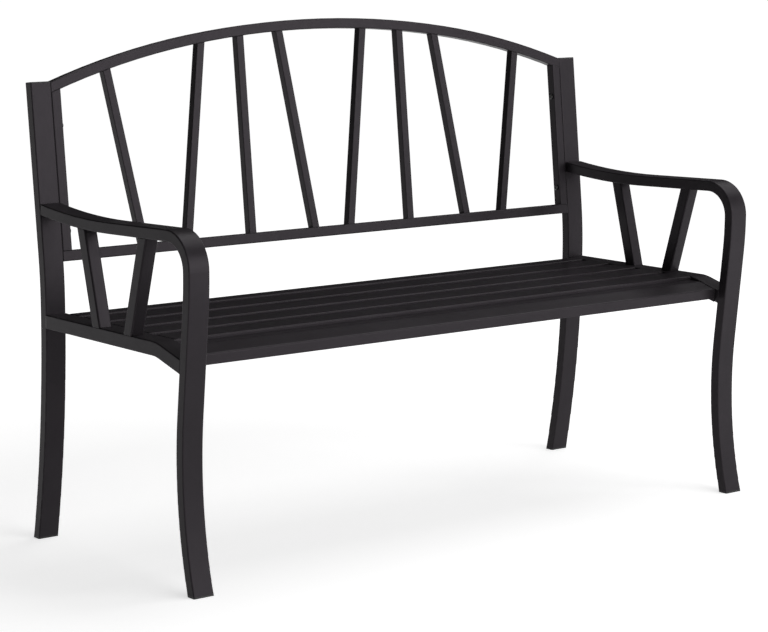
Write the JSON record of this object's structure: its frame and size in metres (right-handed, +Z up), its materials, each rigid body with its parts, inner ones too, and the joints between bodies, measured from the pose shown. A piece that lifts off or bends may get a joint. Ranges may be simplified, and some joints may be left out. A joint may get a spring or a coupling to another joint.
{
  "type": "park bench",
  "caption": "Metal slatted garden bench with an arched back of fanned bars and arm rests that bend down into the front legs.",
  "frame": {"origin": "centre of the bench's footprint, on the floor", "axes": "+X along the bench, to the right as seen from in front; -Y towards the front; +Z up"},
  "size_m": [1.27, 0.531, 0.9176],
  "materials": {
    "frame_paint": "semi-gloss powder coat",
    "plastic_caps": "matt moulded",
    "bolt_steel": "black oxide",
    "rivet_nut_steel": "zinc plated"
  },
  "bodies": {
    "root": {"arm_front_leg_left": "frame_paint", "arm_front_leg_right": "frame_paint", "back_bar_1": "frame_paint", "back_bar_2": "frame_paint", "back_bar_3": "frame_paint", "back_bar_4": "frame_paint", "back_bar_5": "frame_paint", "back_bar_6": "frame_paint", "back_bar_7": "frame_paint", "back_bar_8": "frame_paint", "back_bottom_rail": "frame_paint", "back_top_arch": "frame_paint", "back_upright_left": "frame_paint", "back_upright_right": "frame_paint", "front_arm_strut_left": "frame_paint", "front_arm_strut_right": "frame_paint", "front_foot_cap_left": "plastic_caps", "front_foot_cap_right": "plastic_caps", "front_seat_bolt_left": "bolt_steel", "front_seat_bolt_right": "bolt_steel", "front_seat_plate_left": "frame_paint", "front_seat_plate_right": "frame_paint", "lower_back_bolt_left": "bolt_steel", "lower_back_bolt_right": "bolt_steel", "lower_rivet_nut_left": "rivet_nut_steel", "lower_rivet_nut_right": "rivet_nut_steel", "post_cap_left": "plastic_caps", "post_cap_right": "plastic_caps", "rear_arm_strut_left": "frame_paint", "rear_arm_strut_right": "frame_paint", "rear_foot_cap_left": "plastic_caps", "rear_foot_cap_right": "plastic_caps", "rear_post_left": "frame_paint", "rear_post_right": "frame_paint", "rear_seat_bolt_left": "bolt_steel", "rear_seat_bolt_right": "bolt_steel", "rear_seat_plate_left": "frame_paint", "rear_seat_plate_right": "frame_paint", "seat_centre_bearer": "frame_paint", "seat_end_bearer_left": "frame_paint", "seat_end_bearer_right": "frame_paint", "seat_front_beam": "frame_paint", "seat_rear_strip": "frame_paint", "seat_side_rail_left": "frame_paint", "seat_side_rail_right": "frame_paint", "seat_slat_1": "frame_paint", "seat_slat_2": "frame_paint", "seat_slat_3": "frame_paint", "seat_slat_4": "frame_paint", "upper_back_bolt_left": "bolt_steel", "upper_back_bolt_right": "bolt_steel", "upper_rivet_nut_left": "rivet_nut_steel", "upper_rivet_nut_right": "rivet_nut_steel"}
  },
  "joints": []
}
